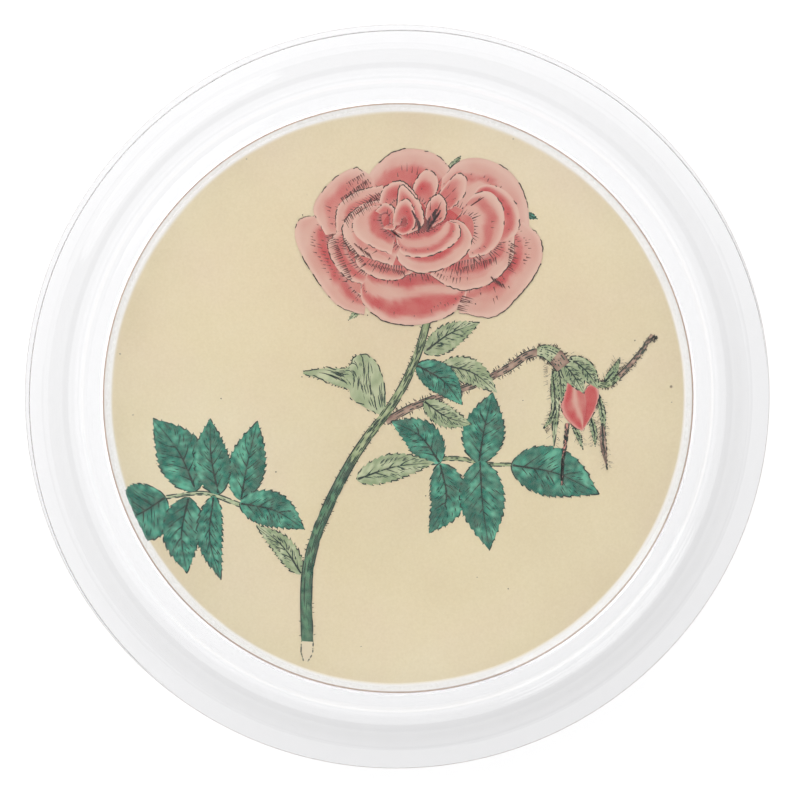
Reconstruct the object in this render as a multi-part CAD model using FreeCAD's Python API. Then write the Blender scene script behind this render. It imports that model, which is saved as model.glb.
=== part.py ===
"""Glass powder jar with a lift-off lid, a rose print set under the lid's window, powder and a puff.

Millimetres, +Z up. The origin is the middle of the jar's underside, so the jar stands on z = 0.
Each function below makes one physical piece and returns its closed solid.
"""

import FreeCAD, Part
import math
import os

V = FreeCAD.Vector
ORIGIN = V(0, 0, 0)
UP = V(0, 0, 1)

# Driving dimensions: the lid's rim sets the width, the bowl sets the height.
RIM_R = 60.0            # widest circle of the lid
LIP_Z = 50.0            # top of the bowl's mouth, where the lid sits
MOUTH_R = 44.2          # inside of the mouth
WALL = 4.2              # glass wall at the mouth
BULGE_R = 50.4          # widest circle of the bowl, well under the lid's overhang
FLOOR_Z = 10.0          # inside floor, on a thick base

# Base pad of felt, let into the underside.
PAD_R = 33.0
PAD_T = 1.4
PAD_PROUD = 0.6         # how far the felt stands below the glass
PAD_GAP = 0.3           # glue margin round the felt

# Bowl details.
HEEL_R = 38.0           # flat ring the glass heel starts from
HEEL_Z = 9.0            # where the heel's curve meets the wall
HEEL_WALL_R = 47.6
HEEL_BASE_T = 4.2       # glass between the heel's wall and the inside, thicker than the mouth
BULGE_Z = 27.0          # height of the widest circle
LIP_OUTER_R = MOUTH_R + WALL
LIP_ROUND = 1.4
NECK_DEPTH = 6.0        # straight stretch of the inside below the mouth
FLOOR_FILLET = 9.0
CAVITY_R = 46.9         # widest circle inside
CAVITY_Z = 30.0         # and its height
FLOOR_WALL_R = HEEL_WALL_R - HEEL_BASE_T
FLAT_FLOOR_R = FLOOR_WALL_R - FLOOR_FILLET

# The stack under the window, from the bowl's lip up to the glass.
LINER_T = 1.8
CARD_T = 1.0
PRINT_T = 0.12
GLUE_T = 0.2            # clear adhesive between the print and the glass
PRINT_R = 47.4          # the trimmed print, inside a narrow white margin of card
CARD_R = 48.8
LINER_R = 49.1
LINER_ROUND = 0.5

# Lid glass: a flat window in a thick raised rim, which reaches down round the stack and the lip.
WINDOW_Z = LIP_Z + LINER_T + CARD_T + PRINT_T + GLUE_T     # underside of the window
WINDOW_T = 5.2
WINDOW_R = 46.2         # flat part of the window's top
STEP_H = 4.2            # from the window's top up to the rim's crest
COVE_R = 51.6           # crisp inner edge of the rim
COVE_ROUND = 0.8
COVE_MID_R = 49.6       # the cove's arc passes through this radius, COVE_MID_H above the window,
COVE_MID_H = 1.5
COVE_END_DROP = 1.4     # and ends this far below the crest, where a small round takes over
COVE_EDGE_DROP = 0.5    # the round passes through COVE_R at this depth
CREST_DROP = 0.2        # and ends at this one
CREST_R = 53.4          # highest circle of the rim
SHOULDER_RUN = 1.7      # the rim's top falls away outward over this run ...
SHOULDER_FALL = 15.0    # ... to this slope in degrees ...
LAND_RUN = 2.2          # ... and eases over this one ...
LAND_FALL = 3.0         # ... to the slope of the outer land
RECESS_R = 49.4         # inside of the rim, round the stack and the lip
RIM_DROP = 2.6          # how far the rim reaches below the lip, which keeps the lid centred
EDGE_ROUND = 0.2
RECESS_ROUND = 0.6
MOUTH_ROUND = 0.7

# Loose powder and the puff that lies on it.
POWDER_Z = 14.0
PUFF_R = 40.0
PUFF_LIFT = 0.3         # air between the powder and the puff
PUFF_PILE_T = 11.0
WADDING_R = 29.0
WADDING_T = 6.0
PUFF_COVER_T = 4.2
PIPING_R = 1.3
PIPING_GAP = 0.05       # from the pile's shoulder to the piping
RIBBON_W = 17.0
RIBBON_T = 0.5
RIBBON_ARCH = 5.0       # finger room under the band
RIBBON_REACH = 31.5     # half the band's span, its ends just inside the piping
RIBBON_FOOT = 0.7       # how far the band's ends lie above the seam


class Profile:
    """A chain of lines and arcs in the X-Z half plane, turned about the Z axis into a solid."""

    def __init__(self, r, z):
        self.start = self.at = V(r, 0, z)
        self.edges = []

    def line(self, r, z):
        end = V(r, 0, z)
        self.edges.append(Part.LineSegment(self.at, end).toShape())
        self.at = end
        return self

    def arc(self, mid, end):
        """An arc through mid to end, both (radius, height)."""
        via, to = V(mid[0], 0, mid[1]), V(end[0], 0, end[1])
        self.edges.append(Part.Arc(self.at, via, to).toShape())
        self.at = to
        return self

    def slope(self, run, first, last):
        """An arc outward over run, whose downhill slope goes from first to last, in degrees."""
        first, last = math.radians(first), math.radians(last)
        radius = run / (math.sin(last) - math.sin(first))
        r, z = self.at.x, self.at.z

        def point(angle):
            across = radius * (math.sin(angle) - math.sin(first))
            return r + across, z - radius * (math.cos(first) - math.cos(angle))

        return self.arc(point((first + last) / 2), point(last))

    def corner(self, centre, end):
        """A quarter turn round centre to end, as on a rounded edge."""
        c, to = V(centre[0], 0, centre[1]), V(end[0], 0, end[1])
        out = (self.at - c).normalize() + (to - c).normalize()
        via = c + out.normalize() * (self.at - c).Length
        return self.arc((via.x, via.z), end)

    def rise(self, end):
        """An arc that leaves level, outward, and climbs to end, as a glass heel does."""
        run, climb = end[0] - self.at.x, end[1] - self.at.z
        radius = (run ** 2 + climb ** 2) / (2 * climb)
        half = math.asin(run / radius) / 2
        mid = (self.at.x + radius * math.sin(half), self.at.z + radius * (1 - math.cos(half)))
        return self.arc(mid, end)

    def turned(self):
        if (self.at - self.start).Length > 1e-9:
            self.edges.append(Part.LineSegment(self.at, self.start).toShape())
        face = Part.Face(Part.Wire(self.edges))
        return face.revolve(ORIGIN, UP, 360)


def disc(radius, z, thickness):
    return Part.makeCylinder(radius, thickness, V(0, 0, z))


def cap_arc(p, edge_r, top_z):
    """Continues profile p from its rim at edge_r up a spherical cap to the axis at top_z."""
    rise = top_z - p.at.z
    sphere_r = (edge_r ** 2 + rise ** 2) / (2 * rise)
    half_angle = math.asin(edge_r / sphere_r) / 2
    centre_z = top_z - sphere_r
    mid = (sphere_r * math.sin(half_angle), centre_z + sphere_r * math.cos(half_angle))
    return p.arc(mid, (0, top_z))


def inside_wall(p):
    """The inside of the bowl from the mouth down to the middle of the floor."""
    p.line(MOUTH_R, LIP_Z - NECK_DEPTH)
    p.arc((CAVITY_R, CAVITY_Z), (FLOOR_WALL_R, FLOOR_Z + FLOOR_FILLET))
    p.corner((FLAT_FLOOR_R, FLOOR_Z + FLOOR_FILLET), (FLAT_FLOOR_R, FLOOR_Z))
    p.line(0, FLOOR_Z)
    return p


def jar_bowl():
    """Pressed clear glass: thick base, softly swelling wall, fire-polished mouth."""
    recess_z = PAD_T
    p = Profile(0, recess_z)
    p.line(PAD_R + PAD_GAP, recess_z)
    p.line(PAD_R + PAD_GAP, PAD_PROUD)
    p.line(HEEL_R, PAD_PROUD)
    p.rise((HEEL_WALL_R, HEEL_Z))
    p.arc((BULGE_R, BULGE_Z), (LIP_OUTER_R, LIP_Z - LIP_ROUND))
    p.corner((LIP_OUTER_R - LIP_ROUND, LIP_Z - LIP_ROUND), (LIP_OUTER_R - LIP_ROUND, LIP_Z))
    p.line(MOUTH_R + MOUTH_ROUND, LIP_Z)
    p.corner((MOUTH_R + MOUTH_ROUND, LIP_Z - MOUTH_ROUND), (MOUTH_R, LIP_Z - MOUTH_ROUND))
    return inside_wall(p).turned()


def base_pad():
    return disc(PAD_R, 0, PAD_T)


def powder_fill():
    """Loose powder, level, up to POWDER_Z, shaped by the floor's fillet that it lies in."""
    fillet_z = FLOOR_Z + FLOOR_FILLET
    rise = math.asin((fillet_z - POWDER_Z) / FLOOR_FILLET)
    half = (rise + math.pi / 2) / 2

    def on_fillet(angle):
        return FLAT_FLOOR_R + FLOOR_FILLET * math.cos(angle), fillet_z - FLOOR_FILLET * math.sin(angle)

    p = Profile(0, FLOOR_Z)
    p.line(FLAT_FLOOR_R, FLOOR_Z)
    p.arc(on_fillet(half), on_fillet(rise))
    p.line(0, POWDER_Z)
    return p.turned()


def lid_glass():
    """Window, cove and raised rim, all one piece of glass, with a recess for the stack below."""
    top_z = WINDOW_Z + WINDOW_T
    crest_z = top_z + STEP_H
    foot_z = LIP_Z - RIM_DROP
    edge_r = RIM_R - EDGE_ROUND
    p = Profile(0, WINDOW_Z)
    p.line(0, top_z)
    p.line(WINDOW_R, top_z)
    p.arc((COVE_MID_R, top_z + COVE_MID_H), (COVE_R - COVE_ROUND, crest_z - COVE_END_DROP))
    p.arc((COVE_R, crest_z - COVE_EDGE_DROP), (COVE_R + COVE_ROUND, crest_z - CREST_DROP))
    p.line(CREST_R, crest_z)
    p.slope(SHOULDER_RUN, 0, SHOULDER_FALL)
    p.slope(LAND_RUN, SHOULDER_FALL, LAND_FALL)
    edge_z = p.at.z - math.tan(math.radians(LAND_FALL)) * (edge_r - p.at.x)
    p.line(edge_r, edge_z)
    p.corner((edge_r, edge_z - EDGE_ROUND), (RIM_R, edge_z - EDGE_ROUND))
    p.line(RIM_R, foot_z + EDGE_ROUND)
    p.corner((edge_r, foot_z + EDGE_ROUND), (edge_r, foot_z))
    p.line(RECESS_R + RECESS_ROUND, foot_z)
    p.corner((RECESS_R + RECESS_ROUND, foot_z + RECESS_ROUND), (RECESS_R, foot_z + RECESS_ROUND))
    p.line(RECESS_R, WINDOW_Z)
    return p.turned()


def glue_film():
    """Clear adhesive that bonds the print to the window."""
    return disc(CARD_R, WINDOW_Z - GLUE_T, GLUE_T)


def rose_print():
    return disc(PRINT_R, WINDOW_Z - GLUE_T - PRINT_T, PRINT_T)


def backing_card():
    return disc(CARD_R, LIP_Z + LINER_T, CARD_T)


def lid_liner():
    """Smooth white disc that keeps powder off the card and rests on the bowl's lip."""
    top = LIP_Z + LINER_T
    p = Profile(0, top)
    p.line(LINER_R, top)
    p.line(LINER_R, LIP_Z + LINER_ROUND)
    p.corner((LINER_R - LINER_ROUND, LIP_Z + LINER_ROUND), (LINER_R - LINER_ROUND, LIP_Z))
    p.line(0, LIP_Z)
    return p.turned()


PUFF_Z = POWDER_Z + PUFF_LIFT
SEAM_Z = PUFF_Z + PUFF_PILE_T


def puff_pile():
    """The velour side that picks up powder: flat below, rounded at the edge, open above for the wadding."""
    half = PUFF_PILE_T / 2
    p = Profile(0, PUFF_Z)
    p.line(PUFF_R - half, PUFF_Z)
    p.arc((PUFF_R, PUFF_Z + half), (PUFF_R - half, SEAM_Z))
    p.line(WADDING_R, SEAM_Z)
    p.line(WADDING_R, SEAM_Z - WADDING_T)
    p.line(0, SEAM_Z - WADDING_T)
    return p.turned()


def puff_wadding():
    """Stuffing between the pile and the cover."""
    return disc(WADDING_R, SEAM_Z - WADDING_T, WADDING_T)


def puff_cover():
    """The satin side: a low dome sewn to the pile at the seam."""
    edge = PUFF_R - PUFF_PILE_T / 2 - PIPING_R
    p = Profile(0, SEAM_Z)
    p.line(edge, SEAM_Z)
    return cap_arc(p, edge, SEAM_Z + PUFF_COVER_T).turned()


def puff_piping():
    """Corded piping round the seam, on the pile's shoulder."""
    ring_r = PUFF_R - PUFF_PILE_T / 2
    return Part.makeTorus(ring_r, PIPING_R, V(0, 0, SEAM_Z + PIPING_R + PIPING_GAP))


def puff_ribbon():
    """Satin band over the cover, arched so that two fingers pass under it."""
    foot_z = SEAM_Z + RIBBON_FOOT
    crown_z = SEAM_Z + PUFF_COVER_T + RIBBON_ARCH

    def outline(lift):
        left = V(-RIBBON_REACH, 0, foot_z + lift)
        crown = V(0, 0, crown_z + lift)
        right = V(RIBBON_REACH, 0, foot_z + lift)
        return left, crown, right

    low, high = outline(0), outline(RIBBON_T)
    edges = [
        Part.Arc(*low).toShape(),
        Part.LineSegment(low[2], high[2]).toShape(),
        Part.Arc(*reversed(high)).toShape(),
        Part.LineSegment(high[0], low[0]).toShape(),
    ]
    band = Part.Face(Part.Wire(edges)).extrude(V(0, RIBBON_W, 0))
    band.translate(V(0, -RIBBON_W / 2, 0))
    return band


PIECES = {
    "jar_bowl": jar_bowl,
    "base_pad": base_pad,
    "powder_fill": powder_fill,
    "lid_glass": lid_glass,
    "glue_film": glue_film,
    "rose_print": rose_print,
    "backing_card": backing_card,
    "lid_liner": lid_liner,
    "puff_pile": puff_pile,
    "puff_wadding": puff_wadding,
    "puff_cover": puff_cover,
    "puff_piping": puff_piping,
    "puff_ribbon": puff_ribbon,
}


def main():
    os.makedirs("parts", exist_ok=True)
    for name, make in PIECES.items():
        solid = make()
        box = solid.BoundBox
        print(f"{name:14s} valid={solid.isValid()} volume={solid.Volume:9.1f} mm3  z {box.ZMin:.2f}..{box.ZMax:.2f}")
        solid.exportStep(f"parts/{name}.step")


main()
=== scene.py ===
"""Looks for the glass powder jar, built round its CAD frame.

The frame is in metres. Lengths written below are in millimetres, and MM turns them into metres.
The drawing on the print has +x to its right and +y towards the rose's head, from the lid's axis.
"""

import math
import random

import bmesh
import bpy
from mathutils import Matrix, Vector, noise

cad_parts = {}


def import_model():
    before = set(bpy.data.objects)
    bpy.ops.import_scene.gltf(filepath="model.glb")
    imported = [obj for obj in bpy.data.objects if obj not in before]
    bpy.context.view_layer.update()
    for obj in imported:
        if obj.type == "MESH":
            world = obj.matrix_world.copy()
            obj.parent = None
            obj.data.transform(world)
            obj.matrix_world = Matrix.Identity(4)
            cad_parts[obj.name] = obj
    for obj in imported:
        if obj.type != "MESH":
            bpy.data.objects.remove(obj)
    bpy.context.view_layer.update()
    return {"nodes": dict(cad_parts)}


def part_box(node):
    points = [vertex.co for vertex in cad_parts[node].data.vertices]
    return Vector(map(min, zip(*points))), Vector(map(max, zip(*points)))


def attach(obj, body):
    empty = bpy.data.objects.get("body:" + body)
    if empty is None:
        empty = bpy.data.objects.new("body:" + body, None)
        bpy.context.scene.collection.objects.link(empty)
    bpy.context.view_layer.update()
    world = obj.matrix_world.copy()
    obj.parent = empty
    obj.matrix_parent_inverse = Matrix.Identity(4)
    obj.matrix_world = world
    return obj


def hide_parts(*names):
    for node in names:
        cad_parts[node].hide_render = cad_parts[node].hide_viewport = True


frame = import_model()
MM = 0.001
SEED = 11
rng = random.Random(SEED)


# ---- sizes from the frame

def top_of(node):
    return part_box(node)[1][2] / MM


def foot_of(node):
    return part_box(node)[0][2] / MM


def radius_of(node):
    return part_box(node)[1][0] / MM


RIM_R = radius_of("lid_glass")
CREST_Z = top_of("lid_glass")
RIM_FOOT_Z = foot_of("lid_glass")
LIP_Z = top_of("jar_bowl")
FOOT_Z = foot_of("jar_bowl")
BULGE_R = radius_of("jar_bowl")
FLOOR_Z = foot_of("powder_fill")
PRINT_R = radius_of("rose_print")
PRINT_Z = top_of("rose_print")
CARD_R = radius_of("backing_card")
PAD_R = radius_of("base_pad")
PAD_T = top_of("base_pad")
PUFF_R = radius_of("puff_pile")
PUFF_Z = foot_of("puff_pile")
SEAM_Z = top_of("puff_pile")
PUFF_TOP_Z = top_of("puff_cover")


# ---- meshes

SHARP = math.radians(40)         # edges that turn by more stay crisp


def put(thing, **values):
    """Sets attributes by name and returns the thing."""
    for key, value in values.items():
        setattr(thing, key, value)
    return thing


def modify(piece, kind, **settings):
    put(piece.modifiers.new(kind.lower(), kind), **settings)


def applied(piece):
    """Turns a piece's modifiers into plain mesh."""
    shaped = piece.evaluated_get(bpy.context.evaluated_depsgraph_get())
    mesh = bpy.data.meshes.new_from_object(shaped)
    piece.modifiers.clear()
    piece.data = mesh
    mesh.shade_smooth()


def quads(rows, columns, first=0, ring=False, closed=False):
    """Faces over a grid of points kept row by row.

    ring joins the ends of each row, closed joins the last row to the first.
    """
    faces = []
    for i in range(rows if closed else rows - 1):
        low, high = first + i * columns, first + (i + 1) % rows * columns
        for j in range(columns if ring else columns - 1):
            n = (j + 1) % columns
            faces.append((low + j, high + j, high + n, low + n))
    return faces


def new_object(name, verts, faces, smooth=True):
    mesh = bpy.data.meshes.new(name)
    mesh.from_pydata(verts, [], faces)
    mesh.update()
    mesh.shade_smooth() if smooth else mesh.shade_flat()
    piece = bpy.data.objects.new(name, mesh)
    bpy.context.scene.collection.objects.link(piece)
    return piece


def face_outwards(piece):
    bm = bmesh.new()
    bm.from_mesh(piece.data)
    bmesh.ops.recalc_face_normals(bm, faces=bm.faces)
    bm.to_mesh(piece.data)
    bm.free()


def finish_piece(piece, body, material, replaces=()):
    piece.data.materials.append(material)
    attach(piece, body)
    if replaces:
        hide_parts(*replaces)


def arc_points(start, mid, end, steps):
    """Points after start on the arc through mid to end, all (radius, height)."""
    (ax, ay), (bx, by), (cx, cy) = start, mid, end
    d = 2 * (ax * (by - cy) + bx * (cy - ay) + cx * (ay - by))
    a2, b2, c2 = ax * ax + ay * ay, bx * bx + by * by, cx * cx + cy * cy
    ux = (a2 * (by - cy) + b2 * (cy - ay) + c2 * (ay - by)) / d
    uy = (a2 * (cx - bx) + b2 * (ax - cx) + c2 * (bx - ax)) / d
    radius = math.hypot(ax - ux, ay - uy)
    first, last = math.atan2(ay - uy, ax - ux), math.atan2(cy - uy, cx - ux)
    turn = 1 if (bx - ax) * (cy - by) - (by - ay) * (cx - bx) > 0 else -1
    sweep = (last - first) * turn % math.tau * turn
    angles = [first + sweep * k / steps for k in range(1, steps + 1)]
    return [(ux + radius * math.cos(a), uy + radius * math.sin(a)) for a in angles]


class Profile:
    """A closed outline of (radius, height) points in mm, turned about the Z axis by turned()."""

    def __init__(self, r, z):
        self.points = [(r, z)]

    def line(self, r, z, steps=1):
        r0, z0 = self.points[-1]
        self.points += [(r0 + (r - r0) * k / steps, z0 + (z - z0) * k / steps) for k in range(1, steps + 1)]
        return self

    def arc(self, mid, end, steps=12):
        self.points += arc_points(self.points[-1], mid, end, steps)
        return self

    def slope(self, run, first, last, steps=12):
        """An arc outward over run, whose downhill slope goes from first to last, in degrees."""
        first, last = math.radians(first), math.radians(last)
        radius = run / (math.sin(last) - math.sin(first))
        r, z = self.points[-1]

        def point(angle):
            return (r + radius * (math.sin(angle) - math.sin(first)),
                    z - radius * (math.cos(first) - math.cos(angle)))

        return self.arc(point((first + last) / 2), point(last), steps)

    def corner(self, centre, end, steps=6):
        """A quarter turn round centre to end."""
        start = self.points[-1]
        a, b = Vector(start) - Vector(centre), Vector(end) - Vector(centre)
        mid = Vector(centre) + (a.normalized() + b.normalized()).normalized() * a.length
        return self.arc(tuple(mid), end, steps)

    def rise(self, end, steps=12):
        """An arc that leaves level, outward, and climbs to end."""
        r0, z0 = self.points[-1]
        run, climb = end[0] - r0, end[1] - z0
        radius = (run ** 2 + climb ** 2) / (2 * climb)
        half = math.asin(run / radius) / 2
        return self.arc((r0 + radius * math.sin(half), z0 + radius * (1 - math.cos(half))), end, steps)

    def turned(self, name, segments, shift=None, crisp=False):
        """The solid of revolution. shift(angle, r, z) moves a point by (dr, dz), both in mm."""
        verts, faces, rings = [], [], []
        for r, z in self.points:
            if r < 1e-6:
                rings.append([len(verts)])
                verts.append((0, 0, z * MM))
                continue
            rings.append(list(range(len(verts), len(verts) + segments)))
            for k in range(segments):
                angle = math.tau * k / segments
                dr, dz = shift(angle, r, z) if shift else (0, 0)
                reach = (r + dr) * MM
                verts.append((reach * math.cos(angle), reach * math.sin(angle), (z + dz) * MM))
        for low, high in zip(rings, rings[1:]):
            for k in range(segments):
                quad = (low[k % len(low)], high[k % len(high)],
                        high[(k + 1) % len(high)], low[(k + 1) % len(low)])
                faces.append(tuple(dict.fromkeys(quad)))
        piece = new_object(name, verts, faces)
        face_outwards(piece)
        if crisp:
            piece.data.set_sharp_from_angle(angle=SHARP)
        return piece


# ---- materials

def linear(colour):
    """An sRGB colour of 0 to 255 as linear RGBA."""
    def channel(value):
        value /= 255
        return value / 12.92 if value <= 0.04045 else ((value + 0.055) / 1.055) ** 2.4
    return tuple(channel(c) for c in colour) + (1.0,)


class Nodes:
    """Short calls for the nodes of a material or a world."""

    def __init__(self, tree):
        self.tree = tree

    def link(self, value, socket):
        """Links a socket to another, or sets its constant."""
        if isinstance(value, bpy.types.NodeSocket):
            self.tree.links.new(value, socket)
        else:
            socket.default_value = value

    def node(self, kind, inputs=None, **settings):
        made = put(self.tree.nodes.new(kind), **settings)
        for key, value in (inputs or {}).items():
            self.link(value, made.inputs[key])
        return made

    def math(self, operation, *values):
        return self.node("ShaderNodeMath", dict(enumerate(values)), operation=operation).outputs[0]

    def ramp(self, value, *stops):
        """Colours over a value; each stop is (position, sRGB colour, linear RGBA or grey)."""
        made = self.node("ShaderNodeValToRGB", {"Fac": value})
        elements = made.color_ramp.elements
        while len(elements) < len(stops):
            elements.new(0.5)
        for element, (position, tone) in zip(elements, stops):
            tone = tone if isinstance(tone, tuple) else (tone, tone, tone, 1.0)
            put(element, position=position, color=tone if len(tone) == 4 else linear(tone))
        return made.outputs["Color"]

    def tones(self, value, dark, light):
        """A soft change from dark to light over noise."""
        return self.ramp(value, (0.3, dark), (0.7, light))


class Material(Nodes):
    """A Principled material. Values name the shader's sockets."""

    def __init__(self, name, **values):
        self.data = put(bpy.data.materials.new(name), use_nodes=True)
        super().__init__(self.data.node_tree)
        self.shader = self.tree.nodes["Principled BSDF"]
        for key, value in values.items():
            self.shader.inputs[key.replace("_", " ")].default_value = value
        self.place = self.node("ShaderNodeTexCoord").outputs["Object"]

    def noise(self, scale, detail=3.0, rough=0.55, stretch=None):
        """Noise of 0 to 1, with scale in features per metre."""
        at = self.place
        if stretch:
            at = self.node("ShaderNodeMapping", {"Vector": at, "Scale": stretch}).outputs[0]
        return self.node("ShaderNodeTexNoise", {"Vector": at, "Scale": scale, "Detail": detail,
                                                "Roughness": rough}).outputs["Fac"]

    def outward(self, radius):
        """Distance from the jar's axis, as a share of a radius in mm."""
        flat = self.node("ShaderNodeMapping", {"Vector": self.place, "Scale": (1, 1, 0)}).outputs[0]
        reach = self.node("ShaderNodeVectorMath", {0: flat}, operation="LENGTH").outputs["Value"]
        return self.math("DIVIDE", reach, radius * MM)

    def mix(self, factor, a, b, blend="MIX"):
        made = self.node("ShaderNodeMix", data_type="RGBA", blend_type=blend)
        for index, value in ((0, factor), (6, a), (7, b)):
            self.link(value, made.inputs[index])
        return made.outputs[2]

    def drive(self, socket, value):
        self.link(value, self.shader.inputs[socket])

    def bump(self, height, depth, strength=1.0):
        """Relief from a height of 0 to 1, depth in mm."""
        made = self.node("ShaderNodeBump", {"Height": height, "Strength": strength, "Distance": depth * MM})
        self.drive("Normal", made.outputs[0])


def grained(name, cloud, fine, tones, fine_tones, share, depth, strength, **values):
    """A clouded matt surface with fibres or grains; fine is their (features per metre, detail)."""
    m = Material(name, **values)
    clouds, grain = m.noise(cloud, detail=4.0), m.noise(*fine, rough=0.7)
    tone = m.tones(clouds, *tones)
    m.drive("Base Color", m.mix(share, tone, m.tones(grain, *fine_tones)))
    m.bump(grain, depth, strength)
    return m.data


def glass(name, tint, rough=0.0):
    """Clear pressed glass: almost colourless, with the faint swell that pressing leaves."""
    m = Material(name, Base_Color=linear(tint), Roughness=rough, IOR=1.5, Transmission_Weight=1.0)
    m.bump(m.noise(45, detail=1.0, rough=0.4), 0.35, strength=0.25)
    return m.data


PRINT_SHADE = (0.955, 0.96, 0.98, 1.0)          # painted shade: darkens all the paper and ink alike, in place of a greyer glass over the print
PAPER_FIBRE = 2600                       # per metre
FOXING = (236, 214, 190)                 # the paper's own blotches, which show through the ink too


def paper():
    """Old wove paper: cream, mottled, with a few specks, and whitened towards its cut edge as painted light.
    """
    m = Material("old_paper", Roughness=0.85, Specular_IOR_Level=0.25)
    cloud = m.noise(28, detail=4.0)
    tone = m.ramp(cloud, (0.25, (230, 214, 176)), (0.5, (237, 223, 186)), (0.8, (242, 230, 199)))
    blotch = m.ramp(m.noise(70, detail=2.0), (0.45, 0.0), (0.8, 1.0))
    tone = m.mix(m.math("MULTIPLY", blotch, 0.35), tone, linear(FOXING))
    fibre = m.noise(PAPER_FIBRE)
    tone = m.mix(0.10, tone, m.tones(fibre, (196, 178, 142), (250, 240, 220)))
    cells = m.node("ShaderNodeTexVoronoi", {"Vector": m.place, "Scale": 170.0}).outputs["Distance"]
    rare = m.ramp(m.noise(95, detail=0.0), (0.60, 0.0), (0.66, 1.0))
    speck = m.math("MULTIPLY", m.ramp(cells, (0.028, 1.0), (0.05, 0.0)), rare)
    tone = m.mix(speck, tone, linear((96, 76, 58)))
    uneven = m.math("ADD", m.outward(PRINT_R), m.math("MULTIPLY", m.noise(60), 0.012))
    # Painted shade: the whole paper is darkened alike, as a greyer glass over the print would darken it.
    tone = m.mix(1.0, tone, PRINT_SHADE, blend="MULTIPLY")
    # Painted light: the paper whitens towards its cut edge, lifting the shade that falls beside the edge of
    # the sheet.
    tone = m.mix(m.ramp(uneven, (0.986, 0.0), (0.999, 0.9)), tone, linear((250, 249, 247)))
    m.drive("Base Color", tone)
    m.bump(fibre, 0.02, strength=0.5)
    return m.data


def ink(name, grain):
    """Colour laid on by hand: each point's own, settled in the paper's grain."""
    m = Material(name, Roughness=0.8, Specular_IOR_Level=0.25)
    own = m.node("ShaderNodeAttribute", attribute_name="ink").outputs["Color"]
    pooled = m.tones(m.noise(900, detail=4.0), 0.0, 1.0)
    tone = m.mix(m.math("MULTIPLY", pooled, grain), own, linear(FOXING))
    # Painted shade: the ink is darkened alike, just as the paper is.
    m.drive("Base Color", m.mix(1.0, tone, PRINT_SHADE, blend="MULTIPLY"))
    m.bump(m.noise(PAPER_FIBRE), 0.02, strength=0.5)
    return m.data


# ---- glass

SEAT_GAP = 0.08          # air between the bowl's lip and the liner, so that each surface is its own
SKIN = 0.02              # keeps a face just clear of the one it touches
GLASS_SEGMENTS = 288
WALL = 4.2
MOUTH_R = 44.2
MOUTH_ROUND = 0.7
LIP_OUTER_R = MOUTH_R + WALL
LIP_ROUND = 1.4
NECK_DEPTH = 6.0
HEEL_R = 38.0
HEEL_Z = 9.0
HEEL_WALL_R = 47.6
FLOOR_WALL_R = 43.4
FLOOR_FILLET = 9.0
CAVITY_R = 46.9
BULGE_Z = 27.0
CAVITY_Z = BULGE_Z + 3
PAD_GAP = 0.3
WINDOW_Z = PRINT_Z - SKIN            # the print stands just inside the glass: no air shows between
STEP_H = 4.2
WINDOW_R = 46.2
COVE_MID_R = 49.6        # a point half way along the cove, and its height over the window
COVE_MID_H = 1.5
COVE_R = 51.6            # the cove's upper edge, rounded by COVE_ROUND, with its three drops from the crest
COVE_ROUND = 0.8
COVE_END_DROP = 1.4
COVE_EDGE_DROP = 0.5
CREST_DROP = 0.2
CREST_R = 53.4
SHOULDER_RUN = 1.7
SHOULDER_FALL = 15.0
LAND_RUN = 2.2
LAND_FALL = 3.0
EDGE_ROUND = 0.2
RECESS_R = 49.4
RECESS_ROUND = 0.6
CLEAR_R = 47.6           # within this radius the glass is thin and takes the clearest tint; beyond it the rim's grey tint is painted shade
LAND_R = 57.2            # beyond it lies the outer land, whose grey tint, also painted shade, is paler than the rim's middle


def hand_pressed(amount, phase):
    """A small unevenness of turned glass, in mm, different round the circle and with height."""
    def shift(angle, r, z):
        at = Vector((math.cos(angle) * 1.4, math.sin(angle) * 1.4, z * 0.03 + phase))
        return noise.noise(at) * amount, 0.0
    return shift


def jar_bowl():
    lip_z = LIP_Z - SEAT_GAP
    p = Profile(0, PAD_T)
    p.line(PAD_R + PAD_GAP, PAD_T, 4).line(PAD_R + PAD_GAP, FOOT_Z).line(HEEL_R, FOOT_Z, 2)
    p.rise((HEEL_WALL_R, HEEL_Z), 20)
    p.arc((BULGE_R, BULGE_Z), (LIP_OUTER_R, lip_z - LIP_ROUND), 28)
    p.corner((LIP_OUTER_R - LIP_ROUND, lip_z - LIP_ROUND), (LIP_OUTER_R - LIP_ROUND, lip_z), 8)
    p.line(MOUTH_R + MOUTH_ROUND, lip_z)
    p.corner((MOUTH_R + MOUTH_ROUND, lip_z - MOUTH_ROUND), (MOUTH_R, lip_z - MOUTH_ROUND))
    p.line(MOUTH_R, LIP_Z - NECK_DEPTH, 4)
    fillet_z = FLOOR_Z + FLOOR_FILLET
    p.arc((CAVITY_R, CAVITY_Z), (FLOOR_WALL_R, fillet_z), 24)
    p.corner((FLOOR_WALL_R - FLOOR_FILLET, fillet_z), (FLOOR_WALL_R - FLOOR_FILLET, FLOOR_Z), 16)
    p.line(0, FLOOR_Z, 6)
    piece = p.turned("clear_bowl", GLASS_SEGMENTS, hand_pressed(0.12, 3.1), crisp=True)
    finish_piece(piece, "jar", glass("bowl_glass", (252, 253, 253)), ["jar_bowl"])


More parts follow.
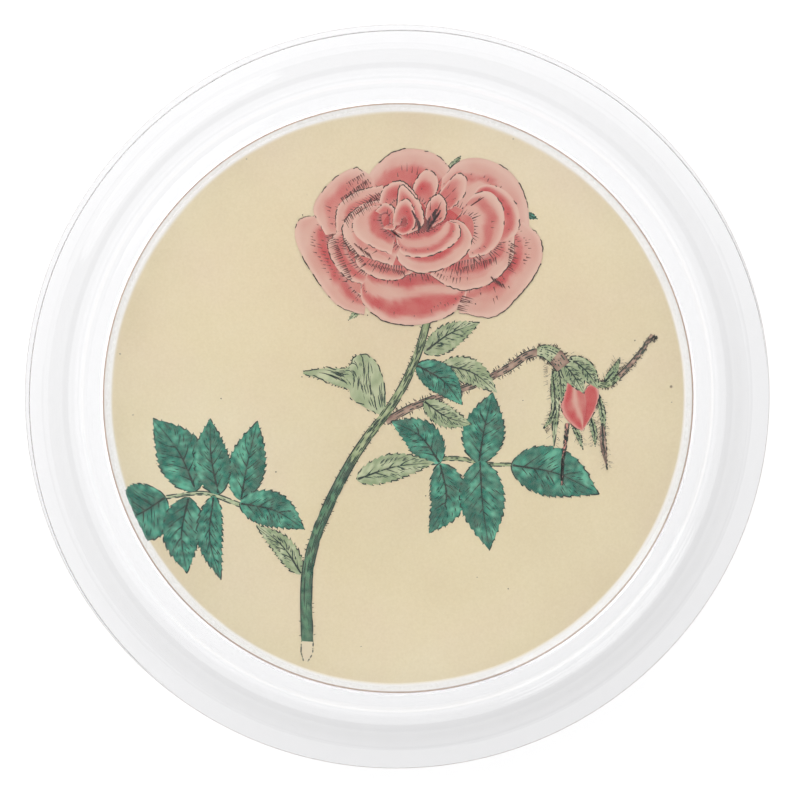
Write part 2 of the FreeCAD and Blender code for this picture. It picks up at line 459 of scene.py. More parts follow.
def lid_glass():
    """Window, cove, crest, shoulder and outer land on top; a recess for the print's stack below."""
    top_z = CREST_Z - STEP_H
    edge_r = RIM_R - EDGE_ROUND
    p = Profile(0, WINDOW_Z)
    p.line(0, top_z).line(WINDOW_R, top_z, 8)
    p.arc((COVE_MID_R, top_z + COVE_MID_H), (COVE_R - COVE_ROUND, CREST_Z - COVE_END_DROP), 22)
    p.arc((COVE_R, CREST_Z - COVE_EDGE_DROP), (COVE_R + COVE_ROUND, CREST_Z - CREST_DROP), 10)
    p.arc(((COVE_R + COVE_ROUND + CREST_R) / 2, CREST_Z - CREST_DROP / 4), (CREST_R, CREST_Z), 5)
    p.slope(SHOULDER_RUN, 0, SHOULDER_FALL).slope(LAND_RUN, SHOULDER_FALL, LAND_FALL)
    r, z = p.points[-1]
    edge_z = z - math.tan(math.radians(LAND_FALL)) * (edge_r - r)
    p.line(edge_r, edge_z).corner((edge_r, edge_z - EDGE_ROUND), (RIM_R, edge_z - EDGE_ROUND), 8)
    foot_z = RIM_FOOT_Z + EDGE_ROUND
    p.line(RIM_R, foot_z, 3).corner((edge_r, foot_z), (edge_r, RIM_FOOT_Z), 8)
    p.line(RECESS_R + RECESS_ROUND, RIM_FOOT_Z, 3)
    p.corner((RECESS_R + RECESS_ROUND, RIM_FOOT_Z + RECESS_ROUND), (RECESS_R, RIM_FOOT_Z + RECESS_ROUND))
    p.line(RECESS_R, WINDOW_Z, 3).line(0, WINDOW_Z, 4)
    piece = p.turned("clear_lid", GLASS_SEGMENTS, hand_pressed(0.06, 8.4), crisp=True)
    # Painted shade: the rim and the outer land are the same glass as the window, tinted grey so that those
    # bands look darker.
    rim = glass("rim_glass_painted_shade", (231, 231, 232), 0.06)
    finish_piece(piece, "lid", rim, ["lid_glass", "glue_film"])
    window, land = 1, 2
    piece.data.materials.append(glass("window_glass", (252, 252, 253)))
    piece.data.materials.append(glass("land_glass_painted_shade", (240, 240, 241), 0.03))
    for face in piece.data.polygons:
        r, z = math.hypot(*face.center[:2]) / MM, face.center.z / MM
        if r > LAND_R:
            face.material_index = land
        elif r < CLEAR_R or (r < RECESS_R and abs(z - WINDOW_Z) < 0.1):
            face.material_index = window


# ---- drawing on the print

LAYER = 0.0015           # mm of height between one shape on the print and the next
ART_SCALE = 1.012        # from the drawing's units to mm
BARE_PAPER = (233, 219, 188)


def spline(points, count):
    """count points along a smooth curve through the given ones."""
    p = [Vector(q).to_2d() for q in points]
    p = [2 * p[0] - p[1]] + p + [2 * p[-1] - p[-2]]
    out = []
    for k in range(count):
        s = k / (count - 1) * (len(p) - 3)
        i = min(int(s), len(p) - 4)
        t = s - i
        a, b, c, d = p[i:i + 4]
        out.append(0.5 * (2 * b + (c - a) * t + (2 * a - 5 * b + 4 * c - d) * t * t
                          + (3 * b - a - 3 * c + d) * t ** 3))
    return out


def left_of(v):
    return Vector((-v.y, v.x))


def bowed(base, tip, bend, count):
    """count points from base to tip, bowed to the left by bend in the middle."""
    base, tip = Vector(base), Vector(tip)
    return spline([base, base.lerp(tip, 0.5) + left_of(tip - base).normalized() * bend, tip], count)


def blend(a, b, t):
    t = min(1.0, max(0.0, t))
    return tuple(x + (y - x) * t for x, y in zip(a, b))


def cloudy(at, size, phase=0.0):
    """Noise of about -0.5 to 0.5, its features size mm across."""
    return noise.noise(Vector((at[0] / size, at[1] / size, phase)))


class Drawing:
    """One layer group of the print: flat shapes with a colour at each point, in an ink of its own."""

    height = 0               # shared: shapes drawn so far

    def __init__(self, name, ink_name, grain):
        self.name, self.ink = name, (ink_name, grain)
        self.verts, self.faces, self.tones = [], [], []

    def add(self, rows, tones, z):
        """A grid of points (rows of equal length) with a colour each. Points off the paper are left out."""
        start, across = len(self.verts), len(rows[0])
        for row, tone_row in zip(rows, tones):
            self.verts += [(x * ART_SCALE * MM, y * ART_SCALE * MM, z * MM) for x, y in row]
            self.tones += tone_row
        for i in range(len(rows) - 1):
            for j in range(across - 1):
                a = start + i * across + j
                quad = (a, a + 1, a + across + 1, a + across)
                if all(math.hypot(*self.verts[v][:2]) < (PRINT_R - 0.05) * MM for v in quad):
                    self.faces.append(quad)

    def made(self):
        piece = new_object(self.name, self.verts, self.faces, smooth=False)
        bm = bmesh.new()
        bm.from_mesh(piece.data)
        tone = bm.verts.layers.float_color.new("ink")
        bm.verts.ensure_lookup_table()
        for vert, colour in zip(bm.verts, self.tones):
            vert[tone] = linear(colour)
        for face in bm.faces:
            if face.normal.z < 0:
                face.normal_flip()
        bmesh.ops.delete(bm, geom=[v for v in bm.verts if not v.link_faces], context="VERTS")
        bm.to_mesh(piece.data)
        bm.free()
        finish_piece(piece, "lid", ink(*self.ink))


GREEN = Drawing("green_washes", "green_wash", 0.10)
PINK = Drawing("petal_washes", "petal_wash", 0.08)
LINES = Drawing("engraved_lines", "engraving_ink", 0.07)


def next_height():
    Drawing.height += 1
    return PRINT_Z + 0.003 + LAYER * Drawing.height


def stroke(points, width, tone, z, taper=0.35, broken=0.0, wobble=0.0, fade=False, rough=0.31):
    """An engraved line: it swells in the middle or fades to its end, and broken leaves gaps in it."""
    count = len(points)
    phase = rng.uniform(0, 100)
    rows, tones = [], []
    for k, at in enumerate(points):
        along = points[min(k + 1, count - 1)] - points[max(k - 1, 0)]
        if along.length < 1e-9:
            continue
        side = left_of(along).normalized()
        t = k / (count - 1)
        swell = min(1.0, min(t, 1 - t) / taper + 0.25) if taper else 1.0
        swell = 1.15 - t if fade else swell
        cut = noise.noise(Vector((k * rough, phase, 0.5))) + 0.5
        gap = noise.noise(Vector((k * rough * 0.3, phase, 3.5))) + 0.5 if rough > 0.31 else cut
        half = 0.0 if gap < broken else width / 2 * swell * (0.75 + 0.5 * cut)
        middle = at + side * wobble * noise.noise(Vector((k * 0.2, phase, 7.0)))
        rows.append([middle - side * half, middle + side * half])
        tones.append([tone, tone])
    if len(rows) > 1:
        LINES.add(rows, tones, z)


BLUSH = (224, 181, 165)
ROSE = (212, 140, 128)
DEEP_ROSE = (201, 78, 80)
PLUM = (150, 70, 78)
HEART = (132, 66, 66)
ROSE_INK = (66, 34, 36)
DEEP_INK = (44, 30, 40)
LINE_INK = (48, 38, 36)
GREEN_INK = (20, 50, 48)
TEAL = ((18, 101, 86), (99, 188, 157))
SAGE = ((146, 166, 126), (202, 210, 172))
STEM_SAGE = ((118, 140, 98), (178, 192, 148))
STEM_TEAL = ((32, 78, 64), (98, 148, 112))
BARK = ((128, 100, 90), (186, 158, 138))
LINE_W = 0.17            # outlines and hatching; the leaves' ribs and veins are wider, hairs finer
RIB_W = 0.28
VEIN_W = 0.21
HAIR_W = 0.13
HATCH_PITCH = 0.38
DEEP_HATCH_W = 0.26


def petal_tone(u, v, at, bands, plum):
    """Pale wash with deeper bands (place across the petal, width, strength) that fade at the petal's ends."""
    fade = math.sin(math.pi * min(1, max(0, u))) ** 0.4
    uneven = 1 + 0.7 * cloudy(at, 2.6, 3.0)
    edge = v + 0.14 * cloudy(at, 3.6, 9.0) + 0.05 * cloudy(at, 0.9, 2.0)
    depth = sum(strength * math.exp(-abs((edge - place) / width) ** 3) for place, width, strength in bands)
    tone = blend(BLUSH, ROSE, 0.22 + 0.5 * cloudy(at, 3.5) + 0.9 * depth * fade)
    tone = blend(tone, DEEP_ROSE, (depth * fade * uneven - 0.12) * 0.95)
    tone = blend(tone, PLUM, plum * math.exp(-(v / 0.16) ** 2) * uneven)
    return blend(tone, (234, 204, 186), 0.6 * math.exp(-((v - 0.95) / 0.10) ** 2))


def petal(rim, base, bands, hatch, broken, plum=0.25, washes=PINK):
    """A petal between its rim and its base, both rows of points, with hatching from the base and each band.

    hatch is the strokes' reach, broken the outline's gaps, plum the depth of the shadow at the base.
    """
    across, deep = 34, 14
    z = next_height()
    outer, inner = spline(rim, across), spline(base, across)
    rows, tones = [], []
    for j in range(deep + 1):
        v = j / deep
        rows.append([inner[k].lerp(outer[k], v) for k in range(across)])
        tones.append([petal_tone(k / (across - 1), v, at, bands, plum) for k, at in enumerate(rows[-1])])
    washes.add(rows, tones, z)
    z = next_height()
    stroke(spline(rim, across * 4), LINE_W, LINE_INK, z, broken=broken + 0.08, wobble=0.2,
           rough=0.43)
    length = sum((b - a).length for a, b in zip(inner, inner[1:]))
    count = max(5, int(length / HATCH_PITCH))
    fine_inner, fine_outer = spline(base, count), spline(rim, count)
    for k in range(1, count - 1):
        thick = cloudy((k * HATCH_PITCH, z * 400), 2.2)
        for place, _, strength in (((0.0, 0, 1.0),) + bands if hatch else ()):
            if rng.random() > 0.5 + 0.45 * strength * (place == 0) + thick:
                continue
            begin = place + rng.uniform(-0.05, 0.06) if place else 0.01
            end = begin + hatch * rng.uniform(0.35, 1.05) * (1.0 if place == 0 else 0.7)
            reach = [fine_inner[k].lerp(fine_outer[k], begin + (end - begin) * s / 4) for s in range(5)]
            dark = blend(ROSE_INK, ROSE, rng.uniform(0, 0.2) + 0.25 * (place > 0))
            stroke(reach, LINE_W * rng.uniform(0.7, 1.3), dark, z, broken=0.1, fade=True)


def hatching(begin, end, reach, count, tone=ROSE_INK, width=LINE_W):
    """Short strokes side by side from begin to end, each drawn towards reach."""
    z = next_height()
    begin, end, reach = Vector(begin), Vector(end), Vector(reach)
    for n in range(count):
        root = begin.lerp(end, (n + rng.uniform(-0.3, 0.3)) / count)
        tip = root + reach * rng.uniform(0.45, 1.1)
        stroke([root, root.lerp(tip, 0.35), root.lerp(tip, 0.7), tip], width * rng.uniform(0.8, 1.3),
               blend(tone, ROSE, rng.uniform(0.12, 0.42)), z, fade=True)


def patch(centre, reach, inner, outer):
    """An oval wash, from inner at its middle to outer at its edge, that shows in the gaps between petals."""
    z = next_height()
    rows, tones = [], []
    for j in range(9):
        row = [(centre[0] + reach[0] * j / 8 * math.cos(math.tau * k / 48),
                centre[1] + reach[1] * j / 8 * math.sin(math.tau * k / 48)) for k in range(49)]
        rows.append(row)
        tones.append([blend(inner, outer, j / 8 + 0.5 * cloudy(at, 2.0)) for at in row])
    PINK.add(rows, tones, z)


def leaf_width(t):
    return math.sin(math.pi * t ** 0.8) ** (0.72 if t < 0.42 else 1.05)


FIRST_VEIN = 0.10        # along the midrib, as a share of the leaf
VEIN_SPAN = 0.58
VEIN_SWEEP = 0.24        # how far a vein runs on towards the tip before it meets the edge


def leaf(base, tip, width, bend=0.0, tones=TEAL, teeth=12, veins=4, tooth=0.36, lean=0.0, streaks=4):
    """A toothed leaf from base to tip. bend bows its midrib, lean makes one half wider than the other."""
    rib = bowed(base, tip, bend, 73)
    ends = len(rib) - 1
    z = next_height()

    def place(t, s):
        at = min(ends, max(0.0, t * ends))
        low = min(int(at), ends - 1)
        out = left_of((rib[low + 1] - rib[low]).normalized())
        half = width * leaf_width(min(1.0, max(1e-4, t))) * (1 + lean * (1 if s > 0 else -1))
        saw = (t * teeth + 0.3 * (s > 0)) % 1.0 * tooth * min(1.0, 5 * (1 - t), 8 * t) if teeth else 0.0
        return rib[low].lerp(rib[low + 1], at - low) + out * (s * half + math.copysign(saw, s) * abs(s) ** 6)

    def tone(t, s, at):
        light = 0.42 + 0.9 * cloudy(at, 2.6) + 0.16 * s + 0.75 * cloudy(at, 0.8, 5.0)
        beside = (t - VEIN_SWEEP * abs(s) - FIRST_VEIN) / VEIN_SPAN * veins - 0.25 * (s > 0)
        beside = (beside + 0.5) % 1.0 - 0.5
        shade = blend(tones[0], tones[1], light - 0.34 * math.exp(-(beside / 0.16) ** 2) * (veins > 0))
        shade = blend(shade, tones[0], 0.75 * math.exp(-(s / 0.13) ** 2))
        shade = blend(shade, GREEN_INK, 0.22 * math.exp(-(s / 0.07) ** 2))
        return blend(shade, tones[0], 0.5 * math.exp(-((1 - abs(s)) / 0.07) ** 2))

    half = [0.12, 0.3, 0.5, 0.7, 0.86, 0.97, 1]
    columns = [-s for s in reversed(half)] + [0] + half
    rows = [[place(t / ends, s) for s in columns] for t in range(ends + 1)]
    tints = [[tone(t / ends, s, at) for s, at in zip(columns, row)] for t, row in enumerate(rows)]
    GREEN.add(rows, tints, z)
    z = next_height()
    midrib = [place(0.02 + 0.9 * t / 40, 0) for t in range(41)]
    stroke(midrib, RIB_W, GREEN_INK, z, fade=True, broken=0.08)
    for edge in (-1, 1):
        outline = [place(t / ends, edge) for t in range(ends + 1)]
        stroke(outline, LINE_W, GREEN_INK, z, taper=0.0, broken=0.55)
        for n in range(1, teeth):
            point = (n - 0.3 * (edge > 0) - 0.04) / teeth
            near, far, middle = place(point, edge * 0.9), place(point, edge * 0.98), place(point, 0)
            out = (place(point, edge) - middle).normalized()
            hook = far + (out + (place(point + 0.02, 0) - middle).normalized()) * 0.17
            if rng.random() < 0.7:
                stroke([near, far, hook], LINE_W, GREEN_INK, z, taper=0.6)
        for k in range(veins):
            start = FIRST_VEIN + VEIN_SPAN * (k + 0.25 * (edge > 0)) / veins
            reach = rng.uniform(0.45, 0.75)
            vein = [place(start + VEIN_SWEEP * reach * (q / 9) ** 1.15, edge * reach * q / 9)
                    for q in range(10)]
            stroke(vein, VEIN_W, blend(GREEN_INK, tones[0], 0.15), z, broken=0.12, fade=True)
            for n in range(streaks):
                at = start + 0.03 + 0.13 * (n + rng.uniform(0.1, 0.9)) / max(1, streaks)
                near = rng.uniform(0.12, 0.62)
                far = min(0.95, near + rng.uniform(0.14, 0.34))
                reach = [place(at + VEIN_SWEEP * w, edge * w) for w in (near, near * 0.6 + far * 0.4, far)]
                stroke(reach, rng.uniform(0.11, 0.18), blend(GREEN_INK, tones[0], 0.22), z, broken=0.1)


def stem(path, widths, tones, low_tones=None, change=0.5, hairs=0, hair=0.5,
         grain=(-0.6, -0.35, 0.0, 0.3, 0.6)):
    """A round stalk along path. From change on it takes low_tones; hairs stand out from both its sides."""
    count = 10 * len(path) + 30
    middle = spline(path, count)
    z = next_height()
    columns = [-1, -0.8, -0.45, 0, 0.45, 0.8, 1]
    rows, colours, edges = [], [], {-1: [], 1: []}
    for k, at in enumerate(middle):
        t = k / (count - 1)
        along = (middle[min(k + 1, count - 1)] - middle[max(k - 1, 0)]).normalized()
        out = left_of(along)
        spot = t * (len(widths) - 1)
        low = min(int(spot), len(widths) - 2)
        half = (widths[low] + (widths[low + 1] - widths[low]) * (spot - low)) / 2
        pair = tones
        if low_tones and t > change + 0.06 * cloudy(at, 1.5):
            pair = low_tones
        rows.append([at + out * s * half for s in columns])
        colours.append([blend(*pair, 0.8 - 0.8 * s * s + 1.1 * cloudy(q, 0.9) - 0.25 * s)
                        for s, q in zip(columns, rows[-1])])
        for edge in edges:
            edges[edge].append((at + out * edge * half, out * edge, along, half))
    GREEN.add(rows, colours, z)
    z = next_height()
    for edge, spots in edges.items():
        stroke([spot[0] for spot in spots], LINE_W, GREEN_INK, z, taper=0.0, broken=0.25)
        for _ in range(hairs):
            at, out, along, _ = spots[rng.randrange(2, count - 2)]
            lean = (out + along * rng.uniform(-0.5, 0.5)) * hair * rng.uniform(0.5, 1.2)
            stroke([at, at + lean * 0.5, at + lean], HAIR_W, LINE_INK, z)
    for offset in grain:
        inner = [q - out * half * (1 - offset) for q, out, _, half in edges[1]]
        stroke(inner[4:-4], LINE_W, blend(GREEN_INK, tones[0], 0.2), z, taper=0.1, broken=0.52)


def rose_bloom():
    """An open garden rose, drawn from the petals furthest back to the furled heart."""
    p = petal
    patch((2.6, 24.4), (15.0, 9.4), DEEP_ROSE, ROSE)
    # Outer petals, spread flat.
    p([(-5.4, 33.6), (-4.2, 36.6), (-1.0, 39.4), (2.6, 40.1), (6.4, 39.0), (8.6, 36.6), (9.0, 34.4)],
      [(-1.6, 32.0), (0.6, 31.8), (3.4, 31.6), (6.4, 31.6)],
      ((0.22, 0.2, 1.0), (0.52, 0.16, 0.75)), 0.28, 0.35)
    p([(7.2, 35.4), (10.2, 38.2), (14.4, 38.3), (18.6, 35.8), (20.8, 31.4), (21.2, 27.0)],
      [(6.6, 31.6), (9.6, 30.6), (13.0, 28.6), (15.6, 26.2)],
      ((0.62, 0.08, 0.5),), 0.12, 0.55, 0.0)
    p([(20.2, 28.2), (22.9, 25.6), (23.0, 21.4), (19.6, 16.4), (15.4, 12.9), (9.8, 13.6)],
      [(17.4, 27.0), (18.0, 23.4), (16.0, 19.8), (10.6, 17.4)],
      ((0.22, 0.16, 1.1), (0.5, 0.1, 0.2)), 0.24, 0.3)
    p([(-12.4, 29.4), (-15.9, 28.6), (-16.4, 25.2), (-13.6, 19.8), (-9.8, 14.9), (-5.4, 13.2)],
      [(-10.4, 28.8), (-10.8, 24.6), (-8.0, 18.6), (-5.0, 15.6)],
      ((0.22, 0.16, 1.0), (0.45, 0.12, 0.25)), 0.22, 0.35)
    p([(-11.6, 26.2), (-13.6, 30.4), (-11.2, 34.4), (-7.2, 37.0), (-4.2, 35.8)],
      [(-9.2, 26.6), (-9.0, 30.0), (-6.8, 32.6), (-3.8, 33.4)],
      ((0.35, 0.3, 0.5),), 0.34, 0.5, 0.1)
    p([(-6.0, 19.0), (-5.6, 15.2), (-2.2, 12.3), (2.6, 11.6), (7.4, 12.7), (10.4, 15.0), (11.2, 17.4)],
      [(-5.2, 20.2), (-1.2, 19.8), (4.8, 19.9), (10.8, 18.4)],
      ((0.12, 0.14, 1.0), (0.70, 0.15, 1.05)), 0.14, 0.35)
    # Second ring.
    p([(-9.9, 26.6), (-9.7, 30.6), (-6.6, 33.2), (-2.4, 34.2)],
      [(-7.8, 27.6), (-6.4, 30.0), (-3.6, 31.4), (-1.6, 31.8)],
      ((0.3, 0.25, 0.6),), 0.5, 0.4)
    p([(11.4, 30.4), (13.2, 34.0), (16.8, 33.6), (19.3, 30.6), (19.4, 27.0), (17.2, 24.2)],
      [(11.8, 29.8), (13.4, 31.0), (15.0, 29.6), (15.2, 26.4)],
      ((0.62, 0.22, 0.95),), 0.1, 0.75, 0.0)
    p([(18.8, 26.0), (18.3, 21.8), (15.0, 18.4), (11.0, 17.2), (7.8, 18.0), (5.2, 19.8)],
      [(16.6, 25.0), (14.4, 23.0), (10.4, 22.0), (6.6, 21.4)],
      ((0.25, 0.22, 0.8), (0.6, 0.08, 0.2)), 0.45, 0.3)
    p([(-9.6, 26.8), (-11.2, 24.8), (-10.4, 21.8), (-8.2, 19.2), (-5.6, 18.2)],
      [(-8.2, 26.4), (-8.2, 23.8), (-6.4, 21.2), (-4.6, 20.0)],
      ((0.45, 0.25, 0.85),), 0.45, 0.3, 0.3)
    p([(-7.0, 23.6), (-6.4, 21.2), (-3.6, 19.3), (-0.2, 18.9), (2.6, 20.2)],
      [(-6.2, 24.6), (-3.8, 22.6), (-0.8, 21.4), (2.2, 21.2)],
      ((0.4, 0.3, 0.65),), 0.5, 0.3, 0.35)
    patch((4.0, 27.6), (6.4, 3.6), HEART, DEEP_ROSE)
    # The cup.
    p([(10.2, 29.8), (12.2, 32.6), (15.0, 33.0), (17.0, 30.2), (16.8, 26.0), (14.6, 23.2), (11.6, 22.4)],
      [(9.0, 28.2), (10.6, 29.4), (12.0, 28.6), (12.2, 26.2), (11.0, 24.2)],
      ((0.58, 0.18, 0.6),), 0.3, 0.55, 0.1)
    p([(-0.6, 24.4), (0.4, 21.6), (3.4, 20.0), (7.4, 20.7), (10.8, 22.8), (12.0, 25.6), (10.4, 28.2),
       (8.4, 28.6)],
      [(0.6, 25.0), (3.0, 24.0), (5.6, 24.4), (8.2, 25.6), (9.2, 27.0), (8.2, 27.8)],
      ((0.3, 0.26, 1.1),), 0.12, 0.25, 0.1)
    p([(-0.4, 26.0), (0.6, 23.2), (3.6, 22.5), (7.2, 23.5), (9.9, 25.6), (9.8, 27.8), (8.0, 28.4)],
      [(0.2, 26.6), (2.4, 26.6), (4.8, 26.9), (7.8, 28.2)],
      ((0.12, 0.16, 0.9), (0.72, 0.13, 0.75)), 0.14, 0.25, 0.2)
    p([(-2.4, 31.8), (-5.6, 31.2), (-8.4, 28.8), (-8.8, 26.0), (-7.4, 23.6), (-4.6, 22.4), (-0.8, 21.2)],
      [(-2.4, 31.2), (-3.4, 29.4), (-2.6, 27.4), (-1.0, 25.6), (0.4, 24.2)],
      ((0.2, 0.22, 1.0), (0.62, 0.12, 0.5)), 0.28, 0.35, 0.55)
    p([(-2.6, 31.0), (-5.2, 30.6), (-7.2, 28.6), (-6.8, 26.2), (-4.4, 24.4), (-1.0, 23.0)],
      [(-2.2, 30.6), (-2.6, 28.8), (-1.8, 27.0), (-0.4, 25.8)],
      ((0.28, 0.2, 1.0),), 0.2, 0.4, 0.6)
    # Inner petals above the heart.
    p([(2.2, 31.4), (2.6, 34.4), (4.4, 36.6), (6.2, 35.8), (6.4, 33.4), (4.8, 30.8)],
      [(3.0, 30.8), (3.4, 31.6), (4.0, 31.4), (4.4, 30.6)],
      ((0.35, 0.3, 0.9),), 0.3, 0.35)
    p([(-3.0, 31.4), (-2.2, 33.8), (0.4, 34.9), (2.6, 33.2), (3.9, 30.8)],
      [(-1.4, 30.6), (-0.4, 31.6), (1.4, 31.6), (3.2, 30.0)],
      ((0.4, 0.35, 0.95),), 0.2, 0.15, 0.2)
    p([(5.6, 31.2), (7.2, 33.6), (9.4, 36.0), (11.0, 35.4), (10.8, 32.8), (9.2, 30.8), (7.8, 30.0)],
      [(5.8, 30.6), (6.6, 31.2), (7.2, 31.0), (7.6, 30.0)],
      ((0.45, 0.3, 0.75),), 0.4, 0.3)
    p([(4.4, 29.2), (4.9, 31.4), (6.6, 32.8), (7.8, 31.2), (7.6, 28.8), (5.6, 27.4)],
      [(4.8, 28.4), (5.4, 28.8), (6.0, 28.4), (5.6, 27.8)],
      ((0.4, 0.3, 0.6),), 0.6, 0.15, 0.9)
    p([(-3.6, 30.0), (-2.2, 31.3), (-0.6, 30.6), (-0.2, 28.8), (-0.6, 27.0), (-2.4, 27.2)],
      [(-2.6, 29.4), (-1.8, 29.6), (-1.4, 29.0), (-1.4, 28.0), (-1.8, 27.8)],
      ((0.4, 0.3, 0.6),), 0.5, 0.3, 0.9)
    # The furled heart.
    p([(-0.8, 27.6), (-0.2, 30.6), (0.4, 34.2), (2.4, 32.8), (4.0, 30.2), (4.0, 27.6), (1.6, 26.2)],
      [(0.6, 27.8), (1.0, 29.0), (1.6, 30.0), (2.2, 29.4), (2.4, 28.2), (1.6, 27.4)],
      ((0.3, 0.4, 0.9),), 0.5, 0.15, 0.9)
    p([(-0.9, 28.0), (-0.2, 30.8), (1.4, 32.0), (2.6, 30.4), (2.8, 27.6), (1.0, 26.2), (-0.6, 26.8)],
      [(0.4, 28.0), (0.8, 28.8), (1.2, 29.0), (1.5, 28.5), (1.4, 27.8), (1.0, 27.5), (0.5, 27.6)],
      ((0.35, 0.4, 1.0),), 0.15, 0.3, 0.2)
    # The deepest shadows, and the rows of hatching where one petal dips under the next.
    for row in (((2.3, 30.1), (3.6, 27.9), (0.5, -1.3), 9),
                ((2.9, 29.4), (3.7, 27.4), (-0.3, -1.2), 7),
                ((6.9, 30.2), (5.0, 27.6), (-0.5, -1.4), 11),
                ((6.2, 30.4), (4.6, 28.2), (-0.1, -1.5), 8),
                ((-1.1, 26.9), (0.2, 25.9), (0.7, -0.5), 6)):
        hatching(*row, DEEP_INK, DEEP_HATCH_W)
    for row in (((-4.9, 35.2), (-9.4, 32.0), (0.7, -1.3), 17),
                ((-5.6, 36.2), (-8.6, 34.4), (0.5, -0.9), 9),
                ((-3.1, 33.0), (-8.8, 28.6), (0.7, -1.4), 22),
                ((-10.4, 26.4), (-7.2, 18.8), (-1.4, -0.5), 26),
                ((-8.4, 25.6), (-4.8, 21.2), (-1.1, -0.7), 17),
                ((-6.9, 24.8), (-4.4, 23.0), (0.7, -1.2), 9),
                ((-4.6, 21.6), (1.2, 20.2), (0.5, -1.0), 16),
                ((15.0, 19.4), (17.2, 18.0), (0.6, -1.1), 9),
                ((12.2, 22.4), (13.2, 23.2), (1.5, -1.5), 3),
                ((10.3, 16.2), (9.4, 13.9), (1.9, -0.5), 8),
                ((11.7, 30.8), (13.2, 31.8), (1.1, 0.7), 6),
                ((9.4, 20.6), (16.0, 22.6), (0.3, -1.4), 20),
                ((18.2, 24.8), (17.6, 20.4), (1.3, -0.7), 13)):
        hatching(*row)


def leaflets():
    """Two compound leaves and the light leaves along the stalk."""
    # Left compound leaf.
    stem([(-25.2, -17.3), (-31.0, -15.4), (-37.2, -16.0)], [0.7, 0.6, 0.5], SAGE, grain=(0.2,))
    leaf((-32.4, -15.0), (-39.4, -3.3), 3.7, -0.8)
    leaf((-37.3, -16.0), (-46.6, -20.4), 4.6, 0.6)
    leaf((-33.6, -16.0), (-33.9, -28.3), 3.0, -1.0)
    leaf((-29.6, -15.8), (-28.4, -29.3), 1.9, -1.2)
    leaf((-25.2, -16.6), (-22.5, -3.7), 2.8, 0.2)
    leaf((-28.8, -15.6), (-30.2, -3.3), 2.7, 0.5)
    leaf((-25.4, -17.0), (-14.9, -21.2), 2.7, 1.0)
    # Right compound leaf.
    stem([(5.2, -9.9), (10.0, -9.9), (14.0, -10.7), (18.4, -10.9)], [0.7, 0.5], STEM_SAGE, grain=(0.2,))
    leaf((6.8, -10.6), (-1.1, -3.8), 2.6, -1.2)
    leaf((6.8, -10.6), (5.0, -21.9), 2.7, 1.9, lean=0.1)
    leaf((13.0, -10.6), (15.3, 0.8), 3.2, 0.2)
    leaf((13.2, -10.2), (14.7, -24.6), 3.4, -0.3)
    # Light green leaves along the stalk.
    pale = dict(tones=SAGE, tooth=0.34, streaks=6)
    leaf((-6.6, -13.2), (6.0, -10.5), 2.0, 0.7, **pale)
    leaf((4.2, 7.2), (13.2, 12.0), 1.9, 0.7, lean=-0.2, **pale)
    leaf((7.0, 5.2), (16.0, 0.7), 1.9, 1.1, **pale)
    leaf((4.2, -0.6), (11.9, -4.4), 1.6, -0.7, **pale)
    leaf((-15.4, -28.4), (-22.8, -20.4), 1.5, -0.8, **pale)
    leaf((3.0, 5.2), (10.4, -1.3), 2.3, 0.9, tooth=0.2)


def folded_leaf():
    """The pale leaf left of the stalk, folded over along its length."""
    z = next_height()
    low = spline([(-2.4, -3.0), (-4.6, -2.0), (-7.3, -0.2), (-7.9, 1.3), (-9.8, 1.9), (-12.2, 2.9),
                  (-15.2, 3.8)], 80)
    high = spline([(-1.8, -2.6), (-2.1, 1.4), (-2.9, 4.6), (-4.6, 6.7), (-6.8, 6.6), (-8.2, 4.8),
                   (-11.6, 4.7), (-15.2, 4.1)], 80)
    rows = [[a.lerp(b, v / 8) for a, b in zip(low, high)] for v in range(9)]
    GREEN.add(rows, [[blend(*SAGE, 0.55 + 0.9 * cloudy(q, 2.4) + 0.4 * cloudy(q, 0.8)) for q in row]
                     for row in rows], z)
    z = next_height()
    for edge, side in ((low, -1), (high, 1)):
        stroke(edge, LINE_W, GREEN_INK, z, taper=0.0, broken=0.38, wobble=0.5)
        for k in range(44, 76, 3):
            hook = edge[k] + Vector((-0.3, side * rng.uniform(0.1, 0.3)))
            stroke([edge[k], edge[k].lerp(hook, 0.5), hook], 0.2, GREEN_INK, z, taper=0.6)
    for k in range(2, 60):
        begin, reach = rng.uniform(0.05, 0.75), rng.uniform(0.15, 0.35)
        slant = 1.5 if k < 40 else 2.7
        line = []
        for s in range(6):
            n = min(79, int(k + s * slant))
            line.append(low[n].lerp(high[n], begin + reach * s / 5))
        stroke(line, rng.uniform(0.12, 0.18), blend(GREEN_INK, SAGE[0], 0.15), z, broken=0.25)


